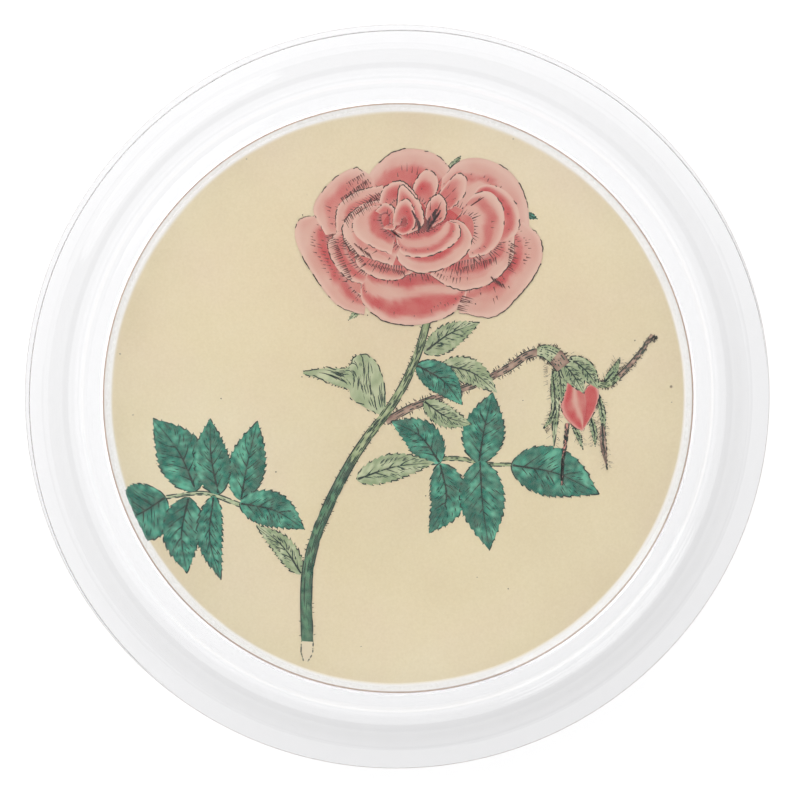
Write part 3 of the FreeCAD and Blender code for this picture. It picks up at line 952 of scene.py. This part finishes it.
def bud():
    """The nodding bud: hip, hairy sepals and the pink petals that show between them."""
    def hairs(path, count, near, far):
        z = next_height()
        for _ in range(count):
            k = rng.randrange(1, len(path) - 2)
            along = (path[k + 1] - path[k]).normalized()
            out = left_of(along) * rng.choice((-1, 1))
            root = path[k] + out * near
            stroke([root, root + (out + along * rng.uniform(0.2, 0.9)) * rng.uniform(0.3, 1.0) * far],
                   0.14, LINE_INK, z, taper=0.9)

    def sepal(base, tip, width, bend, count, tones=SAGE):
        leaf(base, tip, width, bend, tones, teeth=0, veins=2, streaks=2)
        hairs(bowed(base, tip, bend, 40), count, width * 0.7, 0.8)

    # Thin sepals that hang round the bud.
    sepal((24.9, 4.4), (25.0, -8.4), 0.62, 0.35, 60)
    sepal((25.3, -1.6), (23.3, -5.2), 0.42, 0.3, 34)
    sepal((27.9, -4.0), (29.7, -8.5), 0.42, 0.2, 14)
    sepal((30.9, -3.2), (31.7, -8.0), 0.5, 0.2, 26)
    sepal((32.2, 0.4), (33.1, -6.2), 0.5, 0.2, 40)
    sepal((32.8, -4.2), (33.6, -11.7), 0.5, -0.2, 24, BARK)
    stem([(27.2, -4.2), (26.9, -7.4), (26.5, -10.2), (26.3, -14.2)], [0.6, 0.5, 0.3],
         (BARK[0], ROSE))
    # The second twig, from behind the bud to the upper right.
    stem([(31.2, 2.5), (33.4, 1.9), (35.4, 3.2), (37.2, 5.0), (39.2, 7.4), (40.9, 10.0)],
         [0.9, 0.85, 0.75, 0.7, 0.55], STEM_SAGE, BARK, change=0.42, hairs=30, grain=(-0.4, 0.35))
    stem([(40.2, 8.8), (41.2, 9.4), (41.8, 9.6)], [0.5, 0.3], BARK, hairs=4, hair=0.4)
    sepal((33.2, 2.4), (35.7, 6.3), 0.62, -0.3, 34)
    # Petals, the hip over them and the swollen neck.
    petal([(29.8, 0.6), (30.9, 2.2), (32.0, 2.0), (32.3, 0.2), (31.8, -1.8), (30.9, -3.6), (29.7, -5.5)],
          [(29.6, -0.2), (29.9, -1.6), (29.9, -3.0), (29.5, -4.6)],
          ((0.45, 0.45, 1.8),), 0.0, 0.45, 0.3, GREEN)
    petal([(27.7, 3.6), (26.7, 0.8), (26.2, -1.6), (27.0, -3.5), (28.5, -4.9), (29.6, -5.5)],
          [(28.8, 3.4), (30.0, 0.6), (30.2, -1.8), (29.8, -4.2)],
          ((0.84, 0.28, 1.6), (0.12, 0.2, 0.9)), 0.0, 0.5, 0.1, GREEN)
    for base, tip, width, bend, veins in (((25.6, 5.6), (26.3, -1.0), 1.05, 0.2, 3),
                                          ((27.6, 6.3), (32.3, 1.2), 1.5, 0.5, 4),
                                          ((26.4, 5.6), (29.9, 0.5), 1.5, 0.3, 4)):
        leaf(base, tip, width, bend, SAGE, teeth=0, veins=veins, streaks=veins + 2)
    stem([(22.4, 7.3), (23.8, 7.3), (25.4, 6.4), (26.6, 4.8)], [1.3, 2.2, 2.7, 2.6],
         SAGE, BARK, change=0.62, hairs=16, hair=0.6)
    hairs(spline([(24.4, 5.8), (24.3, 3.0), (24.8, -0.6)], 30), 44, 0.2, 0.8)
    hairs(spline([(27.6, 6.9), (30.4, 5.6), (32.2, 3.2)], 30), 26, 0.15, 0.6)


def print_art():
    """The hand-coloured rose spray, as thin layers of wash and line over the paper."""
    for base, tip, tones in (((8.2, 36.6), (10.2, 38.9), SAGE), ((20.4, 29.6), (22.5, 28.7), TEAL),
                             ((-5.6, 14.6), (-8.0, 12.4), SAGE)):
        leaf(base, tip, 0.5, tones=tones, teeth=0, veins=1)
    stem([(-1.9, -3.9), (1.9, -1.8), (4.8, -0.6), (8.8, 0.8), (12.6, 2.1), (15.1, 3.3), (17.9, 4.8),
          (20.4, 6.5), (22.9, 7.4)],
         [1.15, 1.0, 1.0, 1.1, 1.2], BARK, hairs=76, hair=0.62, grain=(-0.45, 0.4))
    leaflets()
    folded_leaf()
    stem([(4.8, 12.4), (3.4, 7.6), (1.2, 2.4), (-1.6, -2.2), (-5.0, -6.6), (-8.2, -11.6), (-11.2, -17.6),
          (-13.4, -23.2), (-14.6, -29.6), (-14.5, -39.6)],
         [1.1, 1.2, 1.3, 1.4, 1.6, 1.7, 1.9], STEM_SAGE, STEM_TEAL, change=0.52, hairs=46, hair=0.4)
    stem([(-14.5, -39.2), (-14.6, -41.0), (-14.8, -42.4)], [1.9, 1.9, 0.7],
         (BARE_PAPER, BARE_PAPER), grain=())
    leaf((18.2, -10.9), (32.3, -15.6), 3.8, 1.0)
    bud()
    rose_bloom()
    z = next_height()
    for _ in range(26):
        reach, angle = PRINT_R * math.sqrt(rng.random()) * 0.97, rng.uniform(0, math.tau)
        at = Vector((reach * math.cos(angle), reach * math.sin(angle)))
        stroke([at, at + Vector((0.16, 0.05))], rng.uniform(0.1, 0.2), LINE_INK, z, taper=0)
    for group in (GREEN, PINK, LINES):
        group.made()


def print_sheet():
    """The trimmed paper disc; its edge is cut by hand and not quite round."""
    back_z = foot_of("rose_print") + SKIN / 2

    def trimmed(angle, r, z):
        if r < PRINT_R - 1:
            return 0.0, 0.0
        return 0.22 * cloudy((math.cos(angle) * 8, math.sin(angle) * 8), 3.0) - 0.12, 0.0

    p = Profile(0, PRINT_Z)
    p.line(PRINT_R - 0.5, PRINT_Z, 8).line(PRINT_R, PRINT_Z)
    p.line(PRINT_R, back_z).line(0, back_z)
    piece = p.turned("print_paper", 180, trimmed, crisp=True)
    finish_piece(piece, "lid", paper(), ["rose_print"])


# ---- cloth

SIM_SCALE = 10           # cloth is solved ten times full size, where the solver is steady


def solved(piece, frames, pressure, cap, shrink=0.0, pin=None, bend=0.6, tension=20.0):
    """Swells a closed or pinned piece by cloth pressure. No point moves further than cap mm."""
    start = [vert.co.copy() for vert in piece.data.vertices]
    for vert in piece.data.vertices:
        vert.co *= SIM_SCALE
    cloth = piece.modifiers.new("cloth", "CLOTH")
    settings = put(cloth.settings, quality=7, mass=0.2, tension_stiffness=tension,
                   compression_stiffness=tension, bending_stiffness=bend, use_pressure=True,
                   uniform_pressure_force=pressure, shrink_min=shrink)
    settings.effector_weights.gravity = 0
    if pin:
        group = piece.vertex_groups.new(name="pin")
        group.add(pin, 1.0, "REPLACE")
        settings.vertex_group_mass = "pin"
    put(cloth.point_cache, frame_start=1, frame_end=frames)
    scene = bpy.context.scene
    for frame_number in range(1, frames + 1):
        scene.frame_set(frame_number)
    shaped = piece.evaluated_get(bpy.context.evaluated_depsgraph_get())
    ends = [vert.co.copy() / SIM_SCALE for vert in shaped.data.vertices]
    piece.modifiers.clear()
    piece.vertex_groups.clear()
    for vert, first, last in zip(piece.data.vertices, start, ends):
        move = last - first
        if move.length > cap * MM:
            move *= cap * MM / move.length
        vert.co = first + move
    scene.frame_set(1)


# ---- lid stack, felt, powder

def felt():
    return grained("wool_felt", 180, (2400, 4.0), ((206, 200, 188), (226, 221, 210)),
                   ((176, 168, 154), (244, 240, 232)), 0.25, 0.25, 0.8,
                   Roughness=0.95, Sheen_Weight=0.5, Sheen_Roughness=0.5)


def base_pad():
    edge, top = 0.35, PAD_T - SKIN
    p = Profile(0, 0)
    p.line(PAD_R - edge, 0, 20).corner((PAD_R - edge, edge), (PAD_R, edge))
    p.line(PAD_R, PAD_T - edge, 3).corner((PAD_R - edge, top - edge), (PAD_R - edge, top))
    p.line(0, top, 6)

    def fuzzy(angle, r, z):
        if r < PAD_R - 2:
            return 0.0, 0.0
        return 0.25 * cloudy((math.cos(angle) * 30, math.sin(angle) * 30), 2.0, z) - 0.1, 0.0

    finish_piece(p.turned("felt_pad", 240, fuzzy), "jar", felt(), ["base_pad"])


def white_card():
    m = Material("white_card", Roughness=0.8, Specular_IOR_Level=0.3)
    fibre = m.noise(1800, detail=3.0)
    # Painted shade: a tan-brown band at the card's outer edge, where the gap between the card and the glass
    # recess lies in shadow.
    gap_shade = m.ramp(m.outward(CARD_R), (0.9925, 0.0), (0.9965, 1.0))
    white = m.tones(fibre, (236, 234, 228), (250, 249, 246))
    m.drive("Base Color", m.mix(gap_shade, white, linear((178, 140, 112))))
    m.bump(fibre, 0.03, strength=0.5)
    return m.data


def opal_liner():
    m = Material("opal_liner", Roughness=0.32, Coat_Weight=0.3, Coat_Roughness=0.2)
    m.drive("Base Color", m.tones(m.noise(60), (240, 240, 236), (248, 248, 245)))
    scuff = m.noise(500, detail=4.0, stretch=(1, 0.15, 1))
    m.drive("Roughness", m.ramp(scuff, (0.4, 0.26), (0.75, 0.46)))
    m.bump(m.noise(300), 0.03, strength=0.3)
    return m.data


def cotton():
    m = Material("cotton_wadding", Roughness=0.95, Sheen_Weight=0.4)
    m.drive("Base Color", m.tones(m.noise(400), (236, 233, 226), (248, 246, 241)))
    m.bump(m.noise(900, detail=4.0), 0.4, strength=0.7)
    return m.data


def powder():
    return grained("face_powder", 60, (3200, 3.0), ((240, 224, 212), (246, 232, 222)),
                   ((226, 202, 188), (252, 240, 232)), 0.18, 0.10, 0.7,
                   Roughness=0.97, Specular_IOR_Level=0.15, Sheen_Weight=0.25)


def powder_bed():
    """Loose powder, shaken roughly level, with a low bank at the wall."""
    clear = 0.06
    fillet_z, fillet_r = FLOOR_Z + FLOOR_FILLET, FLOOR_FILLET - clear
    flat_r = FLOOR_WALL_R - FLOOR_FILLET
    top_z = PUFF_Z - 0.3
    climb = math.asin((fillet_z - top_z) / FLOOR_FILLET)
    wall = [(flat_r + fillet_r * math.cos(a), fillet_z - fillet_r * math.sin(a))
            for a in [math.pi / 2 + (climb - math.pi / 2) * k / 14 for k in range(15)]]
    p = Profile(0, FLOOR_Z + clear)
    p.line(flat_r, FLOOR_Z + clear, 3)
    p.points += wall[1:]
    p.line(0, top_z, 60)

    def uneven(angle, r, z):
        if z < top_z - 0.01 or r > wall[-1][0] - 0.01:
            return 0.0, 0.0
        at = (r * math.cos(angle), r * math.sin(angle))
        rough = 0.35 * cloudy(at, 9.0) + 0.22 * cloudy(at, 3.0, 4.0) + 0.12 * cloudy(at, 1.1, 8.0)
        bank = 0.9 * math.exp(-((r - wall[-1][0]) / 2.2) ** 2)
        fade = min(1.0, (wall[-1][0] - r) / 0.6)
        return 0.0, (rough - 0.18 + bank) * fade

    finish_piece(p.turned("powder_bed", 240, uneven), "jar", powder(), ["powder_fill"])


# ---- puff

PILE_EDGE = 5.5
PIPING_R = 1.3
PIPING_RING_R = PUFF_R - PILE_EDGE
FIBRES = 9000
FIBRE_LENGTH = 1.7
FIBRE_W = 0.11


def velour():
    return grained("velour_pile", 90, (1900, 4.0), ((240, 214, 206), (250, 232, 225)),
                   ((222, 186, 176), (255, 246, 242)), 0.2, 0.5, 0.8,
                   Roughness=0.95, Sheen_Weight=1.0, Sheen_Roughness=0.45, Specular_IOR_Level=0.2)


def satin(name, dark, light, pitch):
    """Satin weave: fine floats at the given pitch in mm, glossy along the thread."""
    m = Material(name, Roughness=0.38, Sheen_Weight=0.35, Anisotropic=0.55, Specular_IOR_Level=0.55)
    thread = m.node("ShaderNodeTexWave", {"Vector": m.place, "Scale": math.tau / (20 * pitch * MM),
                                          "Distortion": 0.6, "Detail": 1.0}, bands_direction="X")
    slub = m.noise(500, stretch=(1, 0.2, 1))
    tone = m.mix(0.12, m.tones(m.noise(70), dark, light), m.tones(slub, dark, (255, 255, 255)))
    m.drive("Base Color", tone)
    m.drive("Roughness", m.tones(slub, 0.30, 0.46))
    m.bump(thread.outputs["Fac"], 0.05, strength=0.5)
    return m.data


def pile_shape():
    """The stuffed velour body, before it swells: a lens with a rounded edge, smaller than its CAD solid."""
    tuck = 2.4
    low, high = PUFF_Z + 1.6, SEAM_Z - 0.8
    half = (high - low) / 2
    edge = PUFF_R - tuck - half
    p = Profile(0, low)
    p.line(edge, low, 10).arc((edge + half, low + half), (edge, high), 10).line(0, high, 10)
    return p.turned("velour_body", 72)


def puff_body():
    piece = pile_shape()
    modify(piece, "REMESH", mode="VOXEL", voxel_size=2.6 * MM)
    applied(piece)
    solved(piece, frames=18, pressure=4.0, cap=2.2)
    for vert in piece.data.vertices:
        at = vert.co / MM
        lump = 0.5 * cloudy(at.xy, 7.0, at.z * 0.1)
        vert.co *= 1 + 0.004 * lump
        vert.co.z = min(max(vert.co.z, (PUFF_Z + 0.15) * MM), (SEAM_Z + 0.4) * MM)
    modify(piece, "SUBSURF", levels=1, render_levels=1)
    applied(piece)
    finish_piece(piece, "puff", velour(), ["puff_pile"])
    return piece


def puff_fibres(body):
    """Short velour fibres standing out of the pile: closed three-sided cones, bent by their lay."""
    mesh = body.data
    mesh.calc_loop_triangles()
    triangles = [t for t in mesh.loop_triangles if t.center.z < (SEAM_Z - 1.0) * MM]
    reach = []
    total = 0.0
    for t in triangles:
        total += t.area
        reach.append(total)
    verts, faces = [], []
    low = 0
    for k in range(FIBRES):
        target = (k + rng.random()) / FIBRES * total
        while reach[low] < target and low < len(reach) - 1:
            low += 1
        t = triangles[low]
        a, b, c = (mesh.vertices[i].co for i in t.vertices)
        u, v = sorted((rng.random(), rng.random()))
        root = a * u + b * (v - u) + c * (1 - v)
        out = t.normal
        lay = Vector((rng.gauss(0, 0.35), rng.gauss(0, 0.35), rng.gauss(0, 0.25)))
        length = FIBRE_LENGTH * MM * rng.uniform(0.55, 1.1)
        bent = (out + lay).normalized()
        tip = root + bent * length + lay * length * 0.4
        floor_z = (PUFF_Z - 0.2) * MM
        if tip.z < floor_z:
            tip.z = floor_z + rng.uniform(0, 0.1) * MM
        middle = root + out * length * 0.5
        aside = out.orthogonal().normalized()
        across = out.cross(aside)
        first = len(verts)
        for at, width in ((root - out * 0.2 * MM, 1.0), (middle, 0.7)):
            for s in range(3):
                turn = math.tau * s / 3
                spoke = aside * math.cos(turn) + across * math.sin(turn)
                verts.append(at + spoke * FIBRE_W / 2 * MM * width)
        verts.append(tip)
        for s in range(3):
            n = (s + 1) % 3
            faces.append((first + s, first + n, first + 3 + n, first + 3 + s))
            faces.append((first + 3 + s, first + 3 + n, first + 6))
        faces.append((first + 2, first + 1, first))
    finish_piece(new_object("velour_fibres", verts, faces), "puff", velour())


COVER_RINGS = 26
COVER_SPOKES = 120


def cover_height(r, edge):
    """The dome of the satin side above the seam."""
    rise = PUFF_TOP_Z - SEAM_Z - 0.8
    return SEAM_Z + 0.5 + rise * (1 - (r / edge) ** 2)


def puff_cover():
    """Satin disc cut larger than the seam that holds it, so that it gathers all round."""
    edge = PIPING_RING_R - 0.6
    verts = [(0, 0, cover_height(0, edge) * MM)]
    for ring in range(1, COVER_RINGS + 1):
        r = edge * ring / COVER_RINGS
        for k in range(COVER_SPOKES):
            angle = math.tau * k / COVER_SPOKES
            crimp = 0.30 * (r / edge) ** 3 * math.sin(angle * 30 + 2.2 * cloudy((angle * 3, 0), 1.0))
            crimp += 0.15 * cloudy((r * math.cos(angle), r * math.sin(angle)), 5.0)
            verts.append((r * math.cos(angle) * MM, r * math.sin(angle) * MM,
                          (cover_height(r, edge) + crimp) * MM))
    faces = [(0, 1 + k, 1 + (k + 1) % COVER_SPOKES) for k in range(COVER_SPOKES)]
    piece = new_object("satin_cover", verts, faces + quads(COVER_RINGS, COVER_SPOKES, 1, ring=True))
    rim = list(range(len(verts) - COVER_SPOKES, len(verts)))
    solved(piece, frames=24, pressure=1.2, cap=2.0, shrink=-0.10, pin=rim, bend=0.15, tension=12.0)
    for vert in piece.data.vertices:
        reach = math.hypot(vert.co.x, vert.co.y) / MM
        fold = 0.22 * min(1.0, (reach / edge) ** 4) * math.sin(math.atan2(vert.co.y, vert.co.x) * 30)
        vert.co.z += fold * MM * (reach < edge - 0.5)
    modify(piece, "SOLIDIFY", thickness=0.35 * MM, offset=1.0)
    modify(piece, "SUBSURF", levels=1, render_levels=1)
    applied(piece)
    finish_piece(piece, "puff", satin("blush_satin", (222, 170, 166), (238, 196, 190), 0.3),
                 ["puff_cover"])


def puff_piping():
    """Three-strand twisted cord sewn round the seam."""
    strands, twists, sides, steps = 3, 54, 8, 1080
    ring_z = SEAM_Z + PIPING_R + 0.05
    offset, thick = PIPING_R * 0.5, PIPING_R * 0.52
    verts, faces = [], []
    for strand in range(strands):
        first = len(verts)
        for k in range(steps):
            angle = math.tau * k / steps
            turn = twists * angle + math.tau * strand / strands
            r = PIPING_RING_R + offset * math.cos(turn)
            z = ring_z + offset * math.sin(turn)
            for s in range(sides):
                a = math.tau * s / sides
                rr, zz = r + thick * math.cos(a), z + thick * math.sin(a)
                verts.append((rr * math.cos(angle) * MM, rr * math.sin(angle) * MM, zz * MM))
        faces += quads(steps, sides, first, ring=True, closed=True)
    piece = new_object("twisted_piping", verts, faces)
    face_outwards(piece)
    finish_piece(piece, "puff", satin("rose_cord", (186, 112, 112), (208, 138, 134), 0.25),
                 ["puff_piping"])


def puff_ribbon():
    """Satin finger band, arched over the cover, with a woven selvedge along both its edges."""
    low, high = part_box("puff_ribbon")
    span, crown, foot = high[0] / MM, high[2] / MM, low[2] / MM
    width, thick = (high[1] - low[1]) / MM, 0.5
    along, across = 96, 20
    rise = crown - thick - foot
    bow_r = (span ** 2 + rise ** 2) / (2 * rise)
    verts = []
    for i in range(along + 1):
        x = span * (2 * i / along - 1)
        z = foot + math.sqrt(bow_r ** 2 - x ** 2) - (bow_r - rise)
        pinch = 1 - 0.10 * math.exp(-((span - abs(x)) / 4.0) ** 2)
        for j in range(across + 1):
            s = 2 * j / across - 1
            y = s * width / 2 * pinch
            cup = -0.5 * s * s * math.cos(math.pi * x / span / 2)
            ripple = 0.30 * cloudy((x, y), 8.0, 2.0) + 0.25 * s * s * cloudy((x, y), 3.5, 6.0)
            edge = 0.14 * math.exp(-((1 - abs(s)) / 0.09) ** 2)
            verts.append((x * MM, y * MM, (z + cup + ripple + edge) * MM))
    piece = new_object("satin_ribbon", verts, quads(along + 1, across + 1))
    modify(piece, "SOLIDIFY", thickness=thick * MM, offset=1.0)
    applied(piece)
    finish_piece(piece, "puff", satin("rose_ribbon", (196, 122, 122), (216, 148, 144), 0.3),
                 ["puff_ribbon"])


# ---- stage

WORLD_STRENGTH = 1.85
SIDE_SHARE = 0.45
WINDOW_SIDE = (-0.30, 0.95, 0.0)               # the side that more light comes from
SKY = ((0.0, 0.5), (0.15, 0.55), (0.4, 0.85), (0.7, 1.03), (0.955, 1.03), (0.98, 0.35))


def world():
    """A white surround, brighter on one side and greyer at the horizon, which draws the edges of the glass.

    Straight above it is dark, so that the flat window shows the print without glare.
    """
    made = bpy.data.worlds.new("studio")
    bpy.context.scene.world = made
    made.use_nodes = True
    n = Nodes(made.node_tree)
    direction = n.node("ShaderNodeTexCoord").outputs["Generated"]
    height = n.node("ShaderNodeSeparateXYZ", {0: direction}).outputs["Z"]
    side = n.node("ShaderNodeVectorMath", {0: direction, 1: WINDOW_SIDE}, operation="DOT_PRODUCT")
    surround = n.tree.nodes["Background"].inputs
    tones = [(place, (tone, tone, tone * 1.004, 1.0)) for place, tone in SKY]
    n.link(n.ramp(height, *tones), surround["Color"])
    n.link(n.math("MULTIPLY_ADD", side.outputs["Value"], WORLD_STRENGTH * SIDE_SHARE, WORLD_STRENGTH),
           surround["Strength"])


TABLE_REACH = 3.0                              # metres, as all lengths of the stage are
TABLE_GAP = 0.0003


def floor():
    """A white table that glows a little, as a lit product table does, so that shadows are faint."""
    m = Material("table_white", Base_Color=(0.34, 0.34, 0.34, 1), Roughness=0.7,
                 Emission_Color=(1, 1, 1, 1), Emission_Strength=0.6)
    m.bump(m.noise(700, detail=2.0), 0.02, strength=0.3)
    corners = [(x * TABLE_REACH, y * TABLE_REACH, 0) for x, y in ((-1, -1), (1, -1), (1, 1), (-1, 1))]
    piece = new_object("table", corners, [(0, 1, 2, 3)], smooth=False)
    piece.location.z = -TABLE_GAP
    piece.data.materials.append(m.data)


LAMP_AIM = Vector((0, 0, 0.03))


def softbox(name, place, size, energy):
    light = put(bpy.data.lights.new(name, "AREA"), shape="DISK", size=size, energy=energy)
    lamp = bpy.data.objects.new(name, light)
    lamp.location = place
    lamp.rotation_euler = (LAMP_AIM - Vector(place)).to_track_quat("-Z", "Y").to_euler()
    bpy.context.scene.collection.objects.link(lamp)


CAMERA_REACH = 0.75
CAMERA_TILT = math.radians(3.9)
CAMERA_HEADING = math.atan2(-0.87, 0.49)       # lower right of the print
CAMERA_AIM = Vector((0.58, -0.81, CREST_Z - 1.6)) * MM
LID_SPAN = 0.930625                            # share of the view's width that the lid takes


def camera():
    """Almost straight above the lid, a few degrees towards the lower right of the print."""
    data = bpy.data.cameras.new("camera")
    eye = bpy.data.objects.new("camera", data)
    bpy.context.scene.collection.objects.link(eye)
    away = Vector((math.cos(CAMERA_HEADING) * math.sin(CAMERA_TILT),
                   math.sin(CAMERA_HEADING) * math.sin(CAMERA_TILT), math.cos(CAMERA_TILT)))
    eye.location = CAMERA_AIM + away * CAMERA_REACH
    right = Vector((0, 1, 0)).cross(away).normalized()
    up = away.cross(right)
    eye.rotation_mode = "QUATERNION"
    eye.rotation_quaternion = Matrix((right, up, away)).transposed().to_quaternion()
    data.lens = data.sensor_width * CAMERA_REACH / (2 * RIM_R * MM / LID_SPAN)
    bpy.context.scene.camera = eye


camera()
world()
floor()
softbox("key", place=(-0.45, 0.5, 0.9), size=0.5, energy=1.0)

# The jar, from the table up.
base_pad()
jar_bowl()
powder_bed()
puff_fibres(puff_body())
puff_cover()
puff_piping()
puff_ribbon()
lid_glass()
print_sheet()
print_art()
for node, finish in (("backing_card", white_card), ("lid_liner", opal_liner), ("puff_wadding", cotton)):
    for slot in frame["nodes"][node].material_slots:
        slot.material = finish()

bpy.context.scene.view_settings.view_transform = "Standard"
